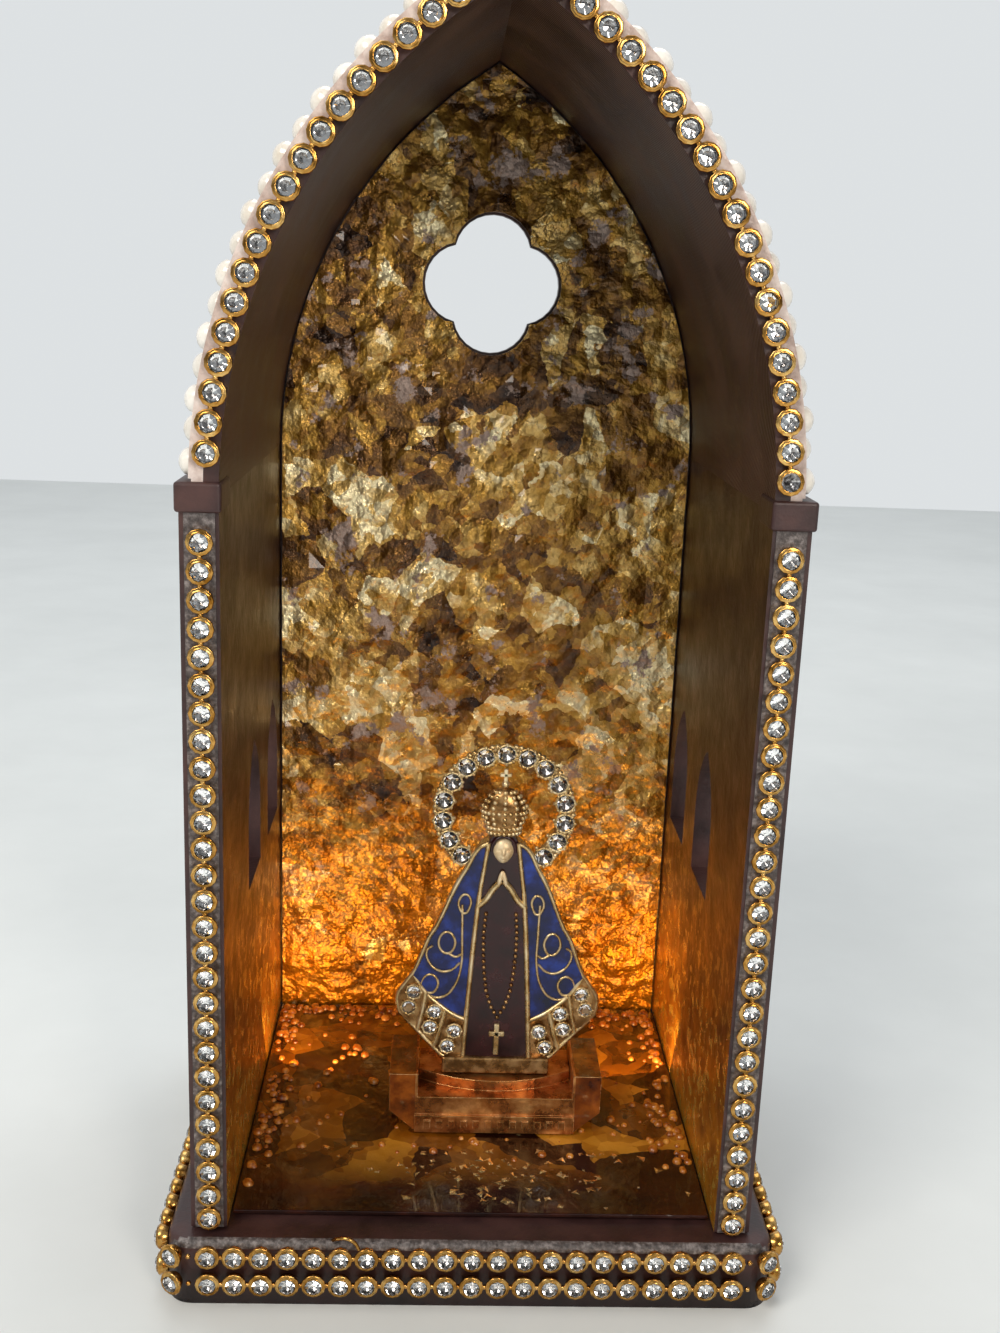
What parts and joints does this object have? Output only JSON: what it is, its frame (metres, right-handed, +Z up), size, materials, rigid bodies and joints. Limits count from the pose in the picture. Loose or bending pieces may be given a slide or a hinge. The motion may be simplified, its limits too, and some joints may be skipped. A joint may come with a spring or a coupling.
{
  "type": "devotional shrine",
  "caption": "Small arched chapel on a plinth, trimmed with cup chain and half pearls, with a gold leafed niche and a cast haloed figure on a stepped pedestal.",
  "frame": {"origin": "under the middle of the base, on the surface that it stands on", "axes": "+Z up, the open front of the chapel faces -Y, +X to the right seen from the front"},
  "size_m": [0.0732, 0.0622, 0.1464],
  "materials": {
    "plum_paint": "satin plum brown paint over a printed body with fine layer lines",
    "gold_leaf": "crumpled imitation gold leaf on a lacquered sheet, torn open in places",
    "amber_resin": "glossy amber resin with leaf flakes and bubbles",
    "gilt_cup_chain": "polished gilt cups holding clear faceted stones",
    "pearl": "ivory half pearls with a soft sheen",
    "gilt_pedestal": "polished coppery gilt casting",
    "cast_figure": "gilt casting filled with glossy blue and aubergine enamel and set with clear stones"
  },
  "bodies": {
    "root": {"base_plinth": "plum_paint", "chapel_shell": "plum_paint", "leaf_panel": "gold_leaf", "resin_floor": "amber_resin", "base_chain_front_lower": "gilt_cup_chain", "base_chain_front_upper": "gilt_cup_chain", "base_chain_left_lower": "gilt_cup_chain", "base_chain_left_upper": "gilt_cup_chain", "base_chain_right_lower": "gilt_cup_chain", "base_chain_right_upper": "gilt_cup_chain", "pillar_chain_left": "gilt_cup_chain", "pillar_chain_right": "gilt_cup_chain", "arch_chain_left": "gilt_cup_chain", "arch_chain_right": "gilt_cup_chain", "roof_pearls_left": "pearl", "roof_pearls_right": "pearl", "pedestal": "gilt_pedestal", "figure": "cast_figure"}
  },
  "joints": []
}
